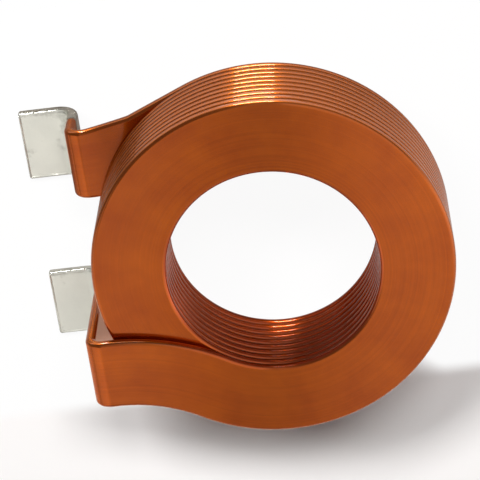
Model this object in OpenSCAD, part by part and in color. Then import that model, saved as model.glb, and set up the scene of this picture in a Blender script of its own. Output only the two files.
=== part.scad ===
// Edge-wound flat wire coil for an inductor.
// One flat copper wire, bent on its narrow edge into a stack of turns round an open bore.
// Both ends leave the stack on the same side, fold down as legs and turn out as tinned soldering tabs.
// The coil's axis is Z, the tabs stand on the board at Z = 0 and the leads point along -X.

/* [Wire] */
// Width of the flat wire, across its broad face
wire_w = 5; // [3:0.1:8]
// Thickness of the flat wire
wire_t = 0.68; // [0.4:0.01:1.2]
// Rounding of the wire's four corners
wire_edge_r = 0.28; // [0.05:0.01:0.32]

/* [Coil] */
// Diameter of the open bore
bore_d = 14.2; // [12:0.1:20]
// Number of times the wire passes the side opposite the leads
passes = 10; // [4:1:16]
// Air between one turn and the next
turn_gap = 0.03; // [0.02:0.01:0.2]
// Height of the lowest turn above the board, where the rear lead leaves it
standoff = 4.7; // [3.6:0.1:10]

/* [Leads] */
// Distance between the centre lines of the two leads
lead_spacing = 12.5; // [11.6:0.1:15]
// Clearance between the coil's outside and the inner faces of the legs
leg_gap = 0.52; // [0.3:0.01:4]
// Inside radius of the fold at the head of each leg
head_r = 0.5; // [0.3:0.05:1.2]
// Straight run of the front lead just before its fold
front_straight = 0.1; // [0.05:0.05:1]
// Straight run of the rear lead just before its fold
rear_straight = 0.2; // [0.1:0.1:2]
// Straight run of the front lead just after it leaves the coil
front_run = 0; // [0:0.1:4]
// Straight run of the rear lead just after it leaves the coil
rear_run = 4.3; // [0:0.1:5]
// Extra height that the front lead climbs from the coil to its fold
front_lift = 0.1; // [0:0.05:1]
// Roll of the rear lead about its length, in degrees, half way round its bend
rear_roll = 5; // [0:0.5:10]

/* [Tabs] */
// Inside radius of the fold at the foot of each leg
foot_r = 0.9; // [0.4:0.05:1.2]
// Length of each soldering tab, from the outer face of its leg
tab_len = 3.5; // [2.6:0.1:8]
// Thickness of the solder coat
tin_t = 0.05; // [0.02:0.01:0.12]
// Height of the solder coat above the board, on the legs
tin_h = 2.6; // [2.2:0.1:3.2]

/* [Hidden] */

// Steps of the sweeps: one turn, one fold, one bend, one rounded corner
turn_steps = 40;
fold_steps = 6;
bend_steps = 9;
corner_steps = 2;

// Heights of the wire's middle and radii of its centre line
pitch = wire_t + turn_gap;
coil_r = (bore_d + wire_w) / 2;
rise_share = pitch / (2 * PI * coil_r);
tab_z = tin_t + wire_t / 2;
rear_z = standoff + wire_t / 2;

// Places of the leads and legs
lead_y = lead_spacing / 2;
leg_x = -(coil_r + wire_w / 2 + leg_gap + wire_t / 2);
head_mid_r = head_r + wire_t / 2;
foot_mid_r = foot_r + wire_t / 2;
fold_x = leg_x + head_mid_r;
tab_end_x = leg_x - wire_t / 2 - tab_len;

// The bend that turns a lead off the coil, worked out so that it meets the lead's straight run.
// reach is the bend's far end, measured from the coil's axis along -X.
function bend_r(reach, run) =
    (reach * reach + lead_y * lead_y - coil_r * coil_r - run * run) / (2 * (coil_r - lead_y));
function bend_angle(reach, run) =
    acos((lead_y + bend_r(reach, run)) / norm([coil_r + bend_r(reach, run), run]))
    - atan2(run, coil_r + bend_r(reach, run));

front_reach = -fold_x - front_straight;
rear_reach = -fold_x - rear_straight;
front_angle = bend_angle(front_reach, front_run);
rear_angle = bend_angle(rear_reach, rear_run);

// Angles at which the wire joins and leaves the coil, counted on through every turn
coil_start = 270 - front_angle;
coil_end = 360 * passes + 90 + rear_angle;
front_z = rear_z + pitch * (coil_end - coil_start) / 360;

// Length of a lead from the coil to a turn of its bend, and to its fold
function bend_len(reach, run, turn) = run + bend_r(reach, run) * (bend_angle(reach, run) - turn) * PI / 180;
function lead_len(reach, run) = bend_len(reach, run, 0) - fold_x - reach;

// Both leads keep the slope of the turns, and the front one curves up clear of the turn beneath it.
front_height = function (away)
    front_z + rise_share * away + front_lift * pow(away / lead_len(front_reach, front_run), 2);
rear_height = function (away) rear_z - rise_share * away;

// A station of the wire is [centre, direction across the width, direction through the thickness].
// side is -1 for the front lead and 1 for the rear one.
function tab_station(side, x) = [[x, side * lead_y, tab_z], [0, side, 0], [0, 0, 1]];
function leg_station(side, z) = [[leg_x, side * lead_y, z], [0, side, 0], [-1, 0, 0]];
function fold_station(side, x, z, radius, angle) =
    let (through = [-sin(angle), 0, cos(angle)])
    [[x, side * lead_y, z] + radius * through, [0, side, 0], through];
function foot_stations(side) = [for (i = [0 : fold_steps])
    fold_station(side, leg_x - foot_mid_r, tab_z + foot_mid_r, -foot_mid_r, 90 * i / fold_steps)];
function head_stations(side, z) = [for (i = [0 : fold_steps])
    fold_station(side, fold_x, z - head_mid_r, head_mid_r, 90 - 90 * i / fold_steps)];

// The roll turns a lead about its inner edge, which keeps its height.
function bend_station(side, reach, radius, turn, z, roll) =
    let (level = [-sin(turn), side * cos(turn), 0], up = [0, 0, 1])
    [[-reach, side * (lead_y + radius), z - sin(roll) * wire_w / 2] - radius * level,
        cos(roll) * level - sin(roll) * up, sin(roll) * level + cos(roll) * up];

// One lead from its tab's end to the coil, short of the coil's own station.
function lead_stations(side, reach, run, height, roll) = concat(
    [tab_station(side, tab_end_x)],
    foot_stations(side),
    head_stations(side, height(lead_len(reach, run))),
    [for (i = [0 : run > 0 ? bend_steps : bend_steps - 1])
        let (turn = bend_angle(reach, run) * i / bend_steps)
        bend_station(side, reach, bend_r(reach, run), turn, height(bend_len(reach, run, turn)),
            roll * sin(180 * i / bend_steps))]);

// The coil, with the stations of every turn above each other
turn_angle = 360 / turn_steps;
whole_steps = floor((coil_end - coil_start) / turn_angle);
coil_angles = concat(
    [for (i = [0 : whole_steps]) coil_start + i * turn_angle],
    coil_end > coil_start + whole_steps * turn_angle ? [coil_end] : []);
coil_stations = [for (a = coil_angles)
    [[coil_r * cos(a), coil_r * sin(a), rear_z + pitch * (coil_end - a) / 360],
        [cos(a), sin(a), 0], [0, 0, 1]]];

function reversed(list) = [for (i = [len(list) - 1 : -1 : 0]) list[i]];

// Rounded rectangle of the wire, grown by a coat of the given thickness.
function wire_section(coat) =
    let (half_w = wire_w / 2 - wire_edge_r, half_t = wire_t / 2 - wire_edge_r, r = wire_edge_r + coat,
        corner_shares = [[1, 1], [-1, 1], [-1, -1], [1, -1]])
    [for (q = [0 : 3]) for (k = [0 : corner_steps])
        let (a = 90 * q + 90 * k / corner_steps)
        [corner_shares[q].x * half_w + r * cos(a), corner_shares[q].y * half_t + r * sin(a)]];

function ring(station, section) = [for (p = section) station[0] + p.x * station[1] + p.y * station[2]];

// Closed skin over a row of rings with the same number of points.
module skin(rings) {
    m = len(rings[0]);
    last = len(rings) - 1;
    polyhedron(
        points = [for (r = rings) each r],
        faces = concat(
            [[for (k = [m - 1 : -1 : 0]) k]],
            [for (i = [0 : last - 1]) for (k = [0 : m - 1])
                let (a = i * m + k, b = i * m + (k + 1) % m)
                each [[a, b, b + m], [a, b + m, a + m]]],
            [[for (k = [0 : m - 1]) last * m + k]]),
        convexity = 2 * passes);
}

// The whole wire in one sweep: front tab, leg and lead, every turn of the coil, rear lead, leg and tab.
module winding() {
    wire = concat(
        lead_stations(-1, front_reach, front_run, front_height, 0),
        coil_stations,
        reversed(lead_stations(1, rear_reach, rear_run, rear_height, rear_roll)));
    color("#a9541f")
        skin([for (s = wire) ring(s, wire_section(0))]);
}

// Solder on the front tab: a cap over the wire's bare end that runs round the foot fold and up the leg.
module front_terminal_tin() {
    bent = concat(foot_stations(-1), [leg_station(-1, tin_h)]);
    outside = concat([tab_station(-1, tab_end_x - tin_t)], bent);
    inside = concat([tab_station(-1, tab_end_x)], bent);
    color("#d3d4cf")
        skin(concat(
            [for (s = outside) ring(s, wire_section(tin_t))],
            [for (s = reversed(inside)) ring(s, wire_section(0))]));
}

// The same solder on the rear tab, which is the front one's mirror image.
module rear_terminal_tin() {
    mirror([0, 1, 0]) front_terminal_tin();
}

winding();
front_terminal_tin();
rear_terminal_tin();
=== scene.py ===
import math

import bpy
import numpy as np
from mathutils import Matrix, Vector


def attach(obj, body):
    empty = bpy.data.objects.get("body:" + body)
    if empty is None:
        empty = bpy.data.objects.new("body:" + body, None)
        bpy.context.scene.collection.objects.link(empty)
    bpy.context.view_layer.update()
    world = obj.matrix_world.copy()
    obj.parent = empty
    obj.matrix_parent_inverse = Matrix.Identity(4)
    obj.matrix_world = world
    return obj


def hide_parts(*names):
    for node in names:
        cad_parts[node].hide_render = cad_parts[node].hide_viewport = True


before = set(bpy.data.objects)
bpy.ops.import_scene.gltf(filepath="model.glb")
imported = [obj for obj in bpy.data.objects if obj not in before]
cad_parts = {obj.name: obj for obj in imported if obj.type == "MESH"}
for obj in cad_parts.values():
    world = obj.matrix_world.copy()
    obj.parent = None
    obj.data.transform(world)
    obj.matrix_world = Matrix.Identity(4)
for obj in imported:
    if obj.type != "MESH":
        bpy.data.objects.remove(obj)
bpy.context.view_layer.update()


# The winding
# One flat copper wire with a baked amber enamel, bent on its narrow edge round a mandrel into a close
# stack of turns. Both ends leave the stack on the same side, fold down as legs and turn out as tabs.

mm = 0.001
wire_w = 5 * mm
wire_t = 0.68 * mm
wire_edge_r = 0.28 * mm
bore_d = 14.2 * mm
passes = 10
turn_gap = 0.03 * mm
standoff = 4.7 * mm
lead_spacing = 12.5 * mm
leg_gap = 0.52 * mm
head_r, foot_r = 0.5 * mm, 0.9 * mm
front_straight, rear_straight = 0.1 * mm, 0.2 * mm
front_run, rear_run = 0, 4.3 * mm
front_lift = 0.1 * mm
rear_roll = math.radians(5)
tab_len = 3.5 * mm
tin_t = 0.05 * mm

pitch = wire_t + turn_gap
coil_r = (bore_d + wire_w) / 2
lead_y = lead_spacing / 2
tab_z = tin_t + wire_t / 2
rear_z = standoff + wire_t / 2
head_mid_r, foot_mid_r = head_r + wire_t / 2, foot_r + wire_t / 2
leg_x = -(coil_r + wire_w / 2 + leg_gap + wire_t / 2)
fold_x = leg_x + head_mid_r
tab_end_x = leg_x - wire_t / 2 - tab_len
rise = pitch / (2 * math.pi * coil_r)

turn_steps = 160
fold_steps = 14
bend_steps = 30
wire_corner_steps = 6
UP = Vector((0, 0, 1))


class Lead:
    """The bend of one lead off the coil, from the coil's tangent to the straight run before its fold."""

    def __init__(self, side, straight, run, roll):
        self.side, self.run, self.roll = side, run, roll
        self.reach = -fold_x - straight
        self.radius = (self.reach**2 + lead_y**2 - coil_r**2 - run**2) / (2 * (coil_r - lead_y))
        swing = coil_r + self.radius
        self.angle = math.acos((lead_y + self.radius) / math.hypot(swing, run)) - math.atan2(run, swing)
        self.length = run + self.radius * self.angle + straight

    def folds(self, head_z):
        """Stations [centre, across, through] from the tab's end up over the fold at the leg's head."""
        across = Vector((0, self.side, 0))
        y = self.side * lead_y
        found = [(Vector((tab_end_x, y, tab_z)), across, UP)]
        for x, z, radius, turns in (
            (leg_x - foot_mid_r, tab_z + foot_mid_r, -foot_mid_r, range(fold_steps + 1)),
            (fold_x, head_z - head_mid_r, head_mid_r, range(fold_steps, -1, -1)),
        ):
            for i in turns:
                a = math.pi / 2 * i / fold_steps
                through = Vector((-math.sin(a), 0, math.cos(a)))
                found.append((Vector((x, y, z)) + radius * through, across, through))
        return found

    def stations(self, height):
        """Stations of the whole lead, short of the coil, for a height worked out from the way to the coil."""
        found = self.folds(height(self.length))
        for i in range(bend_steps + 1 if self.run else bend_steps):
            turn = self.angle * i / bend_steps
            roll = self.roll * math.sin(math.pi * i / bend_steps)
            level = Vector((-math.sin(turn), self.side * math.cos(turn), 0))
            z = height(self.run + self.radius * (self.angle - turn)) - math.sin(roll) * wire_w / 2
            centre = Vector((-self.reach, self.side * (lead_y + self.radius), z)) - self.radius * level
            across = math.cos(roll) * level - math.sin(roll) * UP
            found.append((centre, across, math.sin(roll) * level + math.cos(roll) * UP))
        return found


front = Lead(-1, front_straight, front_run, 0)
rear = Lead(1, rear_straight, rear_run, rear_roll)
coil_start = 1.5 * math.pi - front.angle
coil_end = 2 * math.pi * passes + 0.5 * math.pi + rear.angle
front_z = rear_z + pitch * (coil_end - coil_start) / (2 * math.pi)


def front_height(away):
    return front_z + rise * away + front_lift * (away / front.length) ** 2


def rear_height(away):
    return rear_z - rise * away


def coil_stations():
    found = []
    count = math.ceil((coil_end - coil_start) / (2 * math.pi) * turn_steps)
    for i in range(count + 1):
        a = coil_start + (coil_end - coil_start) * i / count
        out = Vector((math.cos(a), math.sin(a), 0))
        z = rear_z + pitch * (coil_end - a) / (2 * math.pi)
        found.append((out * coil_r + UP * z, out, UP))
    return found


def section(width, thickness, radius, corner_steps):
    """Points and outward normals of a rounded rectangle, anticlockwise."""
    points = []
    half_w, half_t = width / 2 - radius, thickness / 2 - radius
    corners = [(half_w, half_t), (-half_w, half_t), (-half_w, -half_t), (half_w, -half_t)]
    for q, corner in enumerate(corners):
        for k in range(corner_steps + 1):
            a = math.pi / 2 * (q + k / corner_steps)
            normal = Vector((math.cos(a), math.sin(a)))
            points.append((Vector(corner) + radius * normal, normal))
    return points


def ring(station, outline, lean=0):
    """Outline set up at a station, as points with normals that lean forward along the sweep by an angle."""
    centre, across, through = station
    ahead = through.cross(across) * math.sin(lean)
    return [
        (
            centre + point.x * across + point.y * through,
            (normal.x * across + normal.y * through) * math.cos(lean) + ahead,
        )
        for point, normal in outline
    ]


def swept(name, rings):
    """Closed mesh over a row of rings, with their normals and a map of length by girth."""
    m, n = len(rings[0]), len(rings)
    faces = [tuple(range(m))]
    for i in range(n - 1):
        for k in range(m):
            a, b = i * m + k, i * m + (k + 1) % m
            faces.append((a, a + m, b + m, b))
    faces.append(tuple(reversed(range((n - 1) * m, n * m))))
    mesh = bpy.data.meshes.new(name)
    mesh.from_pydata([point for made in rings for point, _ in made], [], faces)
    middles = [sum((point for point, _ in made), Vector()) / m for made in rings]
    along = np.cumsum([0] + [(middles[i + 1] - middles[i]).length for i in range(n - 1)])
    widest = rings[n // 2]
    girth = np.cumsum([0] + [(widest[(k + 1) % m][0] - widest[k][0]).length for k in range(m)])
    layer = mesh.uv_layers.new(name="along_wire")
    for face in mesh.polygons:
        for loop in face.loop_indices:
            i, k = divmod(mesh.loops[loop].vertex_index, m)
            wraps = k == 0 and face.vertices[-1] % m == 0 and face.vertices[0] % m == m - 1
            layer.data[loop].uv = (along[i], girth[m] if wraps else girth[k])
    mesh.shade_smooth()
    mesh.polygons[0].use_smooth = mesh.polygons[-1].use_smooth = False
    mesh.normals_split_custom_set_from_vertices([normal for made in rings for _, normal in made])
    made = bpy.data.objects.new(name, mesh)
    bpy.context.scene.collection.objects.link(made)
    return made


class Shade:
    """An output of a shader tree. Arithmetic on it adds Math nodes, and node() adds any other node."""

    def __init__(self, tree, socket=None):
        self.tree, self.socket = tree, socket

    def node(self, kind, settings=None, sockets=None, out=0):
        made = self.tree.nodes.new(kind)
        for name, value in (settings or {}).items():
            setattr(made, name, value)
        for name, value in (sockets or {}).items():
            if isinstance(value, Shade):
                self.tree.links.new(value.socket, made.inputs[name])
            else:
                made.inputs[name].default_value = value
        return Shade(self.tree, made.outputs[out] if len(made.outputs) else None)

    def math(self, operation, *others):
        return self.node("ShaderNodeMath", {"operation": operation}, dict(enumerate((self, *others))))

    def mix(self, low, high):
        """Colour between low and high, with this value as the share of high."""
        return self.node("ShaderNodeMix", {"data_type": "RGBA"}, {0: self, 6: low, 7: high}, out=2)

    def fade(self, start, end, low=0.0, high=1.0, shape="SMOOTHSTEP"):
        """Value that goes from low to high as this one goes from start to end, and stays there."""
        limits = {"From Min": start, "From Max": end, "To Min": low, "To Max": high}
        return self.node("ShaderNodeMapRange", {"interpolation_type": shape}, {"Value": self, **limits})

    def along(self, axis):
        return self.node("ShaderNodeSeparateXYZ", None, {"Vector": self}, out=axis)

    def __add__(self, other):
        return self.math("ADD", other)

    def __sub__(self, other):
        return self.math("SUBTRACT", other)

    def __rsub__(self, other):
        return (self * -1).math("ADD", other)

    def __mul__(self, other):
        return self.math("MULTIPLY", other)

    __radd__ = __add__
    __rmul__ = __mul__


def linear(*seen):
    """Colour as it is seen on a screen, red, green and blue from 0 to 255, turned into light."""
    shares = [value / 255 for value in seen]
    return (*(c / 12.92 if c < 0.04045 else ((c + 0.055) / 1.055) ** 2.4 for c in shares), 1)


def new_material(name):
    made = bpy.data.materials.new(name)
    made.use_nodes = True
    made.node_tree.nodes.clear()
    return made, Shade(made.node_tree)


def narrow_edge(wire_map, width, thickness, radius):
    """1 on the narrow edges of a swept flat section and 0 on its broad faces, from its along_wire map."""
    girth = 2 * (width + thickness) - (8 - 2 * math.pi) * radius
    half_face, quarter = width / 2 - radius, math.pi / 2 * radius
    turned_by = wire_map.along("Y") * (2 / girth) + (0.5 - (quarter + half_face) * 2 / girth)
    off_face = (turned_by.math("FRACT") - 0.5).math("ABSOLUTE") * (girth / 2)
    return off_face.fade(half_face, half_face + 0.7 * quarter)


def enamelled_copper():
    """Bright drawn copper under clear enamel, thickest and glossiest on the narrow edges, with painted shade
    in the bore.
    """
    made, tree = new_material("enamelled_copper")
    amber_deep, amber_bright = linear(168, 68, 8), linear(204, 97, 10)
    # The redder amber for the inner edges is painted shade, standing in for the deep red that light takes on
    # as it bounces round inside the bore.
    amber_edge, amber_bore_shade = linear(190, 94, 14), linear(200, 78, 8)
    streaks_per_m = (40, 9000, 1)
    clouds_per_m, dimples_per_m = 330, 900
    place = tree.node("ShaderNodeTexCoord", out="Object")
    wire_map = tree.node("ShaderNodeUVMap", {"uv_map": "along_wire"})
    edge = narrow_edge(wire_map, wire_w, wire_t, wire_edge_r)
    level = tree.node("ShaderNodeVectorMath", {"operation": "MULTIPLY"}, {0: place, 1: (1, 1, 0)})
    off_axis = tree.node("ShaderNodeVectorMath", {"operation": "LENGTH"}, {0: level}, out="Value")
    # Share of that painted shade: full on the bore's inner edges, none on the outer rim.
    bore_shade_share = off_axis.fade(coil_r - wire_w / 2, coil_r, 1.0, 0.0, "LINEAR")
    drawn = tree.node("ShaderNodeMapping", None, {"Vector": wire_map, "Scale": streaks_per_m})
    streak = tree.node(
        "ShaderNodeTexNoise", {"noise_dimensions": "2D"}, {"Vector": drawn, "Scale": 1, "Detail": 3}
    )
    cloud = tree.node(
        "ShaderNodeTexNoise", None, {"Vector": place, "Scale": clouds_per_m, "Detail": 4, "Roughness": 0.6}
    )
    peel = tree.node("ShaderNodeTexNoise", None, {"Vector": place, "Scale": dimples_per_m, "Detail": 2})
    face_colour = (cloud * 1.2 + streak * 0.6 - 0.4).mix(amber_deep, amber_bright)
    edge_colour = bore_shade_share.mix(amber_edge, amber_bore_shade)
    bump = tree.node(
        "ShaderNodeBump",
        None,
        {"Strength": 0.08, "Distance": 0.02 * mm, "Height": streak * 0.6 + peel * 0.5},
    )
    shader = tree.node(
        "ShaderNodeBsdfPrincipled",
        None,
        {
            "Base Color": edge.mix(face_colour, edge_colour),
            "Metallic": 0.82,
            "Roughness": 0.14 + 0.06 * streak + 0.1 * edge,
            "Specular IOR Level": 0,
            "Specular Tint": (1, 0.6, 0.3, 1),
            "Anisotropic": 0.8,
            "Anisotropic Rotation": 0.25,
            "Coat Weight": 0.4 + 0.6 * edge,
            "Coat Roughness": 0.05,
            "Coat IOR": 1.5,
            "Normal": bump,
        },
    )
    tree.node("ShaderNodeOutputMaterial", None, {"Surface": shader})
    return made


wire_stations = front.stations(front_height) + coil_stations() + rear.stations(rear_height)[::-1]
wire_outline = section(wire_w, wire_t, wire_edge_r, wire_corner_steps)
wire = swept("enamelled_wire", [ring(station, wire_outline) for station in wire_stations])
wire.data.materials.append(enamelled_copper())

# The drawn sheen runs round the middle of the mesh's texture space, so that is put on the coil's axis.
wire.data.use_auto_texspace = False
wire.data.texspace_location = (0, 0, 0)
wire.data.texspace_size = (coil_r, coil_r, coil_r)
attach(wire, "root")
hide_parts("winding")


# The solder on the tabs
# Each bare end of the wire was dipped in molten tin, which set as a thin bright coat over the tab, round
# the foot fold and a little way up the leg.

tin_h = 2.6 * mm
tin_end_r = 0.15 * mm
tin_lip = 0.15 * mm
tin_lip_t = 0.1 * tin_t
end_steps = 5
tin_corner_steps = 4


def tin_material():
    """Satin tin, brighter and rippled on its edges and rounded end, with a few grey stains of flux."""
    made, tree = new_material("dipped_tin")
    tin_grey, tin_pale, flux_grey = linear(206, 205, 194), linear(225, 224, 212), linear(128, 124, 112)
    clouds_per_m, ripples_per_m, stains_per_m = 500, 1100, 620
    place = tree.node("ShaderNodeTexCoord", out="Object")
    wire_map = tree.node("ShaderNodeUVMap", {"uv_map": "along_wire"})
    side_edge = narrow_edge(wire_map, wire_w + 2 * tin_t, wire_t + 2 * tin_t, wire_edge_r + tin_t)
    end = place.along("X").fade(tab_end_x - tin_t, tab_end_x + tin_end_r, 1.0, 0.0)
    edge = side_edge.math("MAXIMUM", end)
    cloud = tree.node(
        "ShaderNodeTexNoise", None, {"Vector": place, "Scale": clouds_per_m, "Detail": 4, "Roughness": 0.6}
    )
    flow = tree.node("ShaderNodeTexNoise", None, {"Vector": place, "Scale": ripples_per_m, "Detail": 3})
    stain = tree.node(
        "ShaderNodeTexNoise", None, {"Vector": place, "Scale": stains_per_m, "Detail": 5, "Roughness": 0.65}
    )
    bump = tree.node(
        "ShaderNodeBump",
        None,
        {"Strength": 1.0, "Distance": 0.1 * mm, "Height": flow * (0.3 + 4 * edge)},
    )
    shader = tree.node(
        "ShaderNodeBsdfPrincipled",
        None,
        {
            "Base Color": stain.fade(0.54, 0.72, 0.0, 0.45).mix(cloud.mix(tin_grey, tin_pale), flux_grey),
            "Metallic": 0.3 + 0.65 * edge,
            "Roughness": 0.32 + 0.2 * cloud - 0.2 * edge,
            "Normal": bump,
        },
    )
    tree.node("ShaderNodeOutputMaterial", None, {"Surface": shader})
    return made


def tin_rings(lead):
    """Rings of the coat from the tab's rounded end, round the foot fold and up to a thin lip on the leg."""
    across, out = Vector((0, lead.side, 0)), Vector((-1, 0, 0))
    y = lead.side * lead_y

    def coat(station, cover=tin_t, lean=0):
        outline = section(wire_w + 2 * cover, wire_t + 2 * cover, wire_edge_r + cover, tin_corner_steps)
        return ring(station, outline, lead.side * lean)

    rings = []
    for i in range(end_steps + 1):
        a = math.pi / 2 * (1 - i / end_steps)
        x = tab_end_x - tin_t + tin_end_r * (1 - math.sin(a))
        rings.append(coat((Vector((x, y, tab_z)), across, UP), tin_t - tin_end_r * (1 - math.cos(a)), a))
    rings += [coat(station) for station in lead.folds(tin_h)[1 : fold_steps + 2]]
    rings.append(coat((Vector((leg_x, y, tin_h - tin_lip)), across, out)))
    rings.append(coat((Vector((leg_x, y, tin_h)), across, out), tin_lip_t))
    return rings[:: -lead.side]


dipped_tin = tin_material()
tins = []
for lead, name in ((front, "front_terminal_tin"), (rear, "rear_terminal_tin")):
    coat = swept("tin_on_" + name.split("_")[0] + "_tab", tin_rings(lead))
    coat.data.materials.append(dipped_tin)
    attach(coat, "root")
    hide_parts(name)
    tins.append(coat)


# The floor
# A sheet of white paper under the tabs. It ends close behind the coil, so that a low window shines on the
# rim from behind, and it takes the shadow that falls in front of the coil.

floor_half, floor_back = 1.5, 16 * mm


def white_sheet():
    """Paper that is plain white under the coil and far in front, and mirrored as white only in places."""
    made, tree = new_material("white_sheet")
    seen = tree.node("ShaderNodeLightPath", out="Is Camera Ray")
    mirrored = tree.node("ShaderNodeLightPath", out="Is Glossy Ray")
    place = tree.node("ShaderNodeNewGeometry", out="Position")
    x, y = place.along("X"), place.along("Y")
    off_middle = x.math("ABSOLUTE")

    shadow_start = off_middle.fade(6 * mm, 11 * mm, -10.5 * mm, -14.9 * mm)
    under_coil = y.fade(-16.3 * mm, shadow_start, 0.0, 0.94)
    far_off = y.fade(-80 * mm, -32 * mm, 0.85, 0.0)
    paper = tree.node("ShaderNodeBsdfDiffuse", None, {"Color": (0.97, 0.95, 0.94, 1)})
    glow = tree.node("ShaderNodeEmission", None, {"Color": (1, 1, 1, 1), "Strength": 1.0})
    plain = under_coil.math("MAXIMUM", far_off)
    white = tree.node("ShaderNodeMixShader", None, {0: plain, 1: paper, 2: glow})

    in_front = y.fade(-12 * mm, -7 * mm, 1.0, 0.0)
    beside_bore = y.fade(-3 * mm, 3 * mm, 0.5, 0.05) * off_middle.fade(1 * mm, 6 * mm)
    at_right = x.fade(8 * mm, 17 * mm, 0.0, 0.55)
    mirrored_white = in_front.math("MAXIMUM", beside_bore).math("MAXIMUM", at_right) * mirrored
    dim = tree.node("ShaderNodeBsdfDiffuse", None, {"Color": (0.26, 0.23, 0.21, 1)})
    surface = tree.node("ShaderNodeMixShader", None, {0: seen + mirrored_white, 1: dim, 2: white})
    tree.node("ShaderNodeOutputMaterial", None, {"Surface": surface})
    return made


floor_corners = [
    (-floor_half, -floor_half, 0),
    (floor_half, -floor_half, 0),
    (floor_half, floor_back, 0),
    (-floor_half, floor_back, 0),
]
floor_mesh = bpy.data.meshes.new("floor")
floor_mesh.from_pydata(floor_corners, [], [(0, 1, 2, 3)])
floor_mesh.materials.append(white_sheet())
floor = bpy.data.objects.new("floor", floor_mesh)
bpy.context.scene.collection.objects.link(floor)


# The room
# White to the camera. The copper mirrors a light front and ceiling with a dark gap down the middle and a
# dark patch overhead, a dim back, and light from below behind the floor. Matt surfaces get little of it.

back_way, right_way = (-0.17, 0.98, 0), (0.992, -0.129, 0)
patch_way = (-0.43, -0.13, 0.89)
dim_room = 0.16

world = bpy.data.worlds.new("room")
world.use_nodes = True
world.node_tree.nodes.clear()
room = Shade(world.node_tree)
seen = room.node("ShaderNodeLightPath", out="Is Camera Ray")
matt = room.node("ShaderNodeLightPath", out="Is Diffuse Ray")
way = room.node("ShaderNodeTexCoord", out="Generated")


def toward(direction):
    """How far a ray of the room points along a direction, from -1 to 1."""
    vectors = {0: way, 1: direction}
    return room.node("ShaderNodeVectorMath", {"operation": "DOT_PRODUCT"}, vectors, out="Value")


height, to_back, to_right = way.along("Z"), toward(back_way), toward(right_way)
front_wall = to_back.fade(-0.8, -0.3, 0.47, 0.95)
front_half = to_back.fade(-0.42, 0.25, 1.0, 0.0)
ceiling = height.fade(0.3, 0.96, 0.0, 0.8) * to_right.fade(-0.3, 0.05)
dark_gap = (to_right + 0.01).math("ABSOLUTE").fade(0.01, 0.07, 0.42, 1.0)
dark_patch = toward(patch_way).fade(0.945, 0.99, 1.0, 0.15)
brighter_right = 1 + 0.6 * to_right
from_below = height.fade(-0.2, 0.05, 1.04, 0.0) * to_right.fade(-0.92, -0.84)
walls = front_wall * front_half.math("MAXIMUM", ceiling) * dark_gap * dark_patch * brighter_right
room_light = walls + from_below + dim_room
sky = room.node(
    "ShaderNodeBackground",
    None,
    {
        "Color": matt.mix((1, 1, 1, 1), (1, 0.9, 0.84, 1)),
        "Strength": room_light * (1 - seen) * (1 - 0.95 * matt) + seen,
    },
)
room.node("ShaderNodeOutputWorld", None, {"Surface": sky})
bpy.context.scene.world = world


# The camera
# A long lens that looks down on the coil at 26 degrees to its axis, from the side of the rear lead, with the
# picture turned a little about the axis.

view_tilt, view_lean, view_spin = math.radians(26.05), math.radians(2.26), math.radians(7.4)
coil_in_view = Vector((2.183 * mm, -2.230 * mm, -141.63 * mm))
lens_px, frame_px, sensor_mm = 2146.4, 480, 36
coil_top = Vector((0, 0, front_z + wire_t / 2))
turned = (
    Matrix.Rotation(-view_spin - view_lean, 3, "Z")
    @ Matrix.Rotation(-view_tilt, 3, "X")
    @ Matrix.Rotation(view_lean, 3, "Z")
)
camera_data = bpy.data.cameras.new("camera")
camera_data.sensor_width = sensor_mm
camera_data.lens = lens_px / frame_px * sensor_mm
camera_data.clip_start = 10 * mm
camera = bpy.data.objects.new("camera", camera_data)
camera.matrix_world = Matrix.Translation(coil_top - turned @ coil_in_view) @ turned.to_4x4()
bpy.context.scene.collection.objects.link(camera)
bpy.context.scene.camera = camera


# The lamps
# A tall dim window low behind the coil, with a brighter bar in it, draws the lines of light on the turns.
# A wide lamp at the left lights the folds, and two keys light only the floor and the tin.

lamp_distance = 0.6


def lamp(name, azimuth, elevation, width, height, watts):
    """Soft rectangular lamp that looks at the coil from an azimuth in the picture, 90 being its top."""
    a, e = math.radians(azimuth) - view_spin, math.radians(elevation)
    aim = Vector((math.cos(a) * math.cos(e), math.sin(a) * math.cos(e), math.sin(e)))
    data = bpy.data.lights.new(name, "AREA")
    data.shape, data.size, data.size_y, data.energy = "RECTANGLE", width, height, watts
    made = bpy.data.objects.new(name, data)
    made.location = aim * lamp_distance + coil_top / 2
    made.rotation_euler = aim.to_track_quat("Z", "Y").to_euler()
    bpy.context.scene.collection.objects.link(made)
    return made


lamp("window", azimuth=99, elevation=-11.5, width=0.19, height=0.32, watts=0.82)
lamp("window_bar", azimuth=99, elevation=-10, width=0.19, height=0.07, watts=1.3)
lamp("fold_fill", azimuth=216, elevation=34, width=0.5, height=0.5, watts=0.3)
keys = [
    lamp("key", azimuth=122, elevation=46, width=0.25, height=0.1, watts=2.7),
    lamp("high_key", azimuth=81, elevation=50, width=0.22, height=0.1, watts=2.1),
]
lit_by_key = bpy.data.collections.new("lit_by_key")
for lit in (floor, *tins):
    lit_by_key.objects.link(lit)
for key in keys:
    key.light_linking.receiver_collection = lit_by_key

bpy.context.scene.view_settings.view_transform = "Standard"
